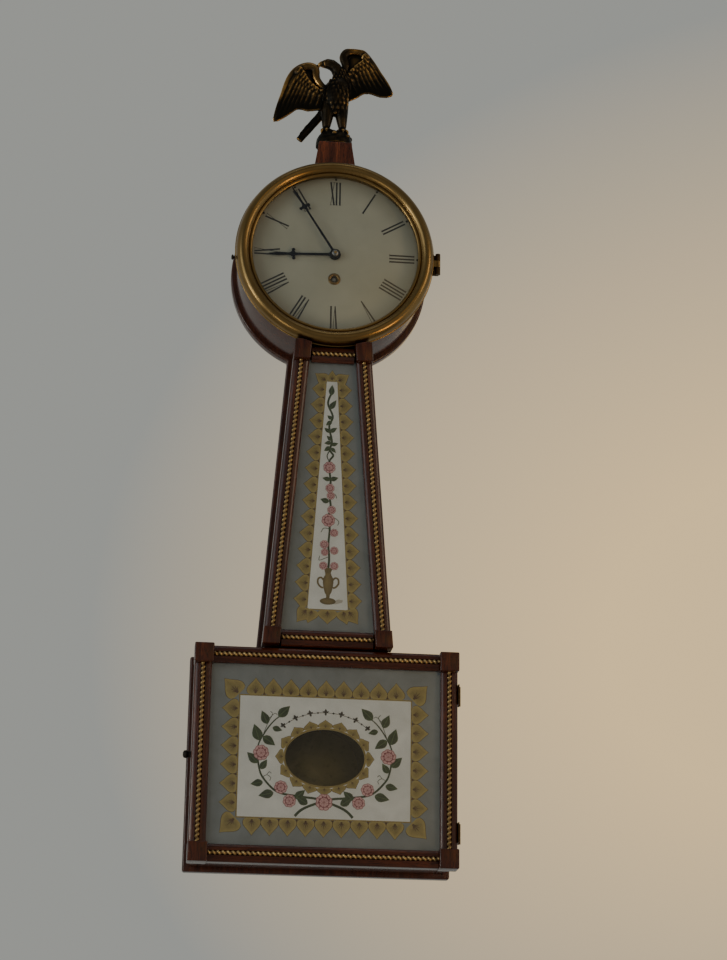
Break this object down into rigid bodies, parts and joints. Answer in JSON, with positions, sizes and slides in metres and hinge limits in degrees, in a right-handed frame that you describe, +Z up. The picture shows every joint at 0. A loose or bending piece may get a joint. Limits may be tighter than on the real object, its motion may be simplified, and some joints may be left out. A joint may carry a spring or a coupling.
{
  "type": "banjo clock",
  "caption": "Banjo wall clock: round brass-bezelled head, tapering throat and square box with painted glasses, eagle finial, spring-driven movement and swinging pendulum.",
  "frame": {"origin": "on the wall, behind the centre of the dial", "axes": "+Z up the clock, +X to the right seen from the front, -Y out from the wall towards the viewer"},
  "size_m": [0.2708, 0.0918, 0.8983],
  "materials": {
    "mahogany": "glossy shellac",
    "brass": "aged, lacquered",
    "antique_bronze": "dark patina, rubbed bright on high spots",
    "dark_iron": "dull",
    "blued_steel": "blued",
    "steel": "polished",
    "cream_paint": "satin, aged cream",
    "clear_glass": "clear",
    "painted_glass": "painted on the back, glossy in front"
  },
  "bodies": {
    "case": {"back_board": "mahogany", "bezel_hinge_case_leaf": "brass", "box_bottom_board": "mahogany", "box_side_left": "mahogany", "box_side_right": "mahogany", "box_top_board": "mahogany", "dial": "cream_paint", "door_hinge_lower_case_leaf": "brass", "door_hinge_upper_case_leaf": "brass", "finial_eagle": "antique_bronze", "finial_plinth": "mahogany", "head_ring": "mahogany", "movement_back_plate": "brass", "movement_front_plate": "brass", "suspension_cock": "brass", "suspension_spring": "steel", "throat_block_bottom_left": "mahogany", "throat_block_bottom_right": "mahogany", "throat_block_top_left": "mahogany", "throat_block_top_right": "mahogany", "throat_glass": "painted_glass", "throat_rail_bottom": "mahogany", "throat_rail_left": "mahogany", "throat_rail_right": "mahogany", "throat_rail_top": "mahogany", "throat_side_left": "mahogany", "throat_side_right": "mahogany", "wall_hanger": "brass", "winding_eyelet": "brass"},
    "bezel": {"bezel_ring": "brass", "bezel_glass": "clear_glass", "bezel_pull_knob": "dark_iron"},
    "door": {"door_block_bottom_left": "mahogany", "door_block_bottom_right": "mahogany", "door_block_top_left": "mahogany", "door_block_top_right": "mahogany", "door_glass": "painted_glass", "door_hinge_lower_door_leaf": "brass", "door_hinge_upper_door_leaf": "brass", "door_rail_bottom": "mahogany", "door_rail_left": "mahogany", "door_rail_right": "mahogany", "door_rail_top": "mahogany"},
    "door_latch": {"door_latch": "dark_iron"},
    "barrel": {"mainspring_barrel": "brass"},
    "winding_arbor": {"winding_arbor": "steel"},
    "intermediate_wheel": {"intermediate_wheel": "brass"},
    "minute_arbor": {"centre_wheel": "brass", "cannon_pinion": "steel", "minute_hand": "blued_steel", "hand_nut": "blued_steel"},
    "third_wheel": {"third_wheel": "brass"},
    "escape_wheel": {"escape_wheel": "brass"},
    "minute_wheel": {"minute_wheel": "brass"},
    "hour_hand": {"hour_wheel": "brass", "hour_hand": "blued_steel"},
    "pallets": {"pallets_and_crutch": "steel"},
    "pendulum": {"pendulum_rod": "steel"},
    "bob": {"pendulum_bob": "brass"},
    "rating_nut": {"rating_nut": "brass"}
  },
  "joints": [
    {"name": "bezel_hinge", "type": "hinge", "parent": "case", "child": "bezel", "pos_m": [0.1088, -0.0775, -0.004], "axis": [0, 0, 1], "range_deg": [0, 110]},
    {"name": "door_hinge", "type": "hinge", "parent": "case", "child": "door", "pos_m": [0.1318, -0.0725, -0.533], "axis": [0, 0, 1], "range_deg": [0, 110]},
    {"name": "door_latch_turn", "type": "hinge", "parent": "case", "child": "door_latch", "pos_m": [-0.126, -0.0625, -0.53], "axis": [1, 0, 0], "range_deg": [0, 90]},
    {"name": "minute_arbor_turn", "type": "hinge", "parent": "case", "child": "minute_arbor", "pos_m": [0, -0.06, 0], "axis": [0, 1, 0], "continuous": true},
    {"name": "hour_hand_turn", "type": "hinge", "parent": "case", "child": "hour_hand", "pos_m": [0, -0.06, 0], "axis": [0, 1, 0], "continuous": true},
    {"name": "minute_wheel_turn", "type": "hinge", "parent": "case", "child": "minute_wheel", "pos_m": [-0.01804, -0.06, -0.00657], "axis": [0, 1, 0], "continuous": true},
    {"name": "third_wheel_turn", "type": "hinge", "parent": "case", "child": "third_wheel", "pos_m": [-0.0154, -0.045, 0.0154], "axis": [0, 1, 0], "continuous": true},
    {"name": "escape_wheel_turn", "type": "hinge", "parent": "case", "child": "escape_wheel", "pos_m": [0, -0.045, 0.0274], "axis": [0, 1, 0], "continuous": true},
    {"name": "intermediate_wheel_turn", "type": "hinge", "parent": "case", "child": "intermediate_wheel", "pos_m": [0.02027, -0.045, -0.01033], "axis": [0, 1, 0], "continuous": true},
    {"name": "barrel_turn", "type": "hinge", "parent": "case", "child": "barrel", "pos_m": [0, -0.045, -0.027], "axis": [0, 1, 0], "continuous": true},
    {"name": "winding_arbor_turn", "type": "hinge", "parent": "case", "child": "winding_arbor", "pos_m": [0, -0.045, -0.027], "axis": [0, 1, 0], "continuous": true},
    {"name": "pendulum_swing", "type": "hinge", "parent": "case", "child": "pendulum", "pos_m": [0, -0.021, 0.0457], "axis": [0, 1, 0], "range_deg": [-3.5, 3.5]},
    {"name": "pallets_rock", "type": "hinge", "parent": "case", "child": "pallets", "pos_m": [0, -0.042, 0.0457], "axis": [0, 1, 0], "range_deg": [-3.5, 3.5]},
    {"name": "bob_slide", "type": "slide", "parent": "pendulum", "child": "bob", "axis": [0, 0, 1], "range_m": [-0.0035, 0.0035]},
    {"name": "rating_nut_turn", "type": "hinge", "parent": "bob", "child": "rating_nut", "pos_m": [0, -0.021, -0.5703], "axis": [0, 0, 1], "range_deg": [-1801, 1801]}
  ],
  "couplings": [
    {"joint": "hour_hand_turn", "follows": "minute_arbor_turn", "ratio": 0.083333},
    {"joint": "minute_wheel_turn", "follows": "minute_arbor_turn", "ratio": -0.33333},
    {"joint": "third_wheel_turn", "follows": "minute_arbor_turn", "ratio": -10},
    {"joint": "escape_wheel_turn", "follows": "minute_arbor_turn", "ratio": 78.75},
    {"joint": "intermediate_wheel_turn", "follows": "minute_arbor_turn", "ratio": -0.16667},
    {"joint": "barrel_turn", "follows": "minute_arbor_turn", "ratio": 0.027778},
    {"joint": "pallets_rock", "follows": "pendulum_swing", "ratio": 1},
    {"joint": "rating_nut_turn", "follows": "bob_slide", "rad_per_m": 8976}
  ]
}
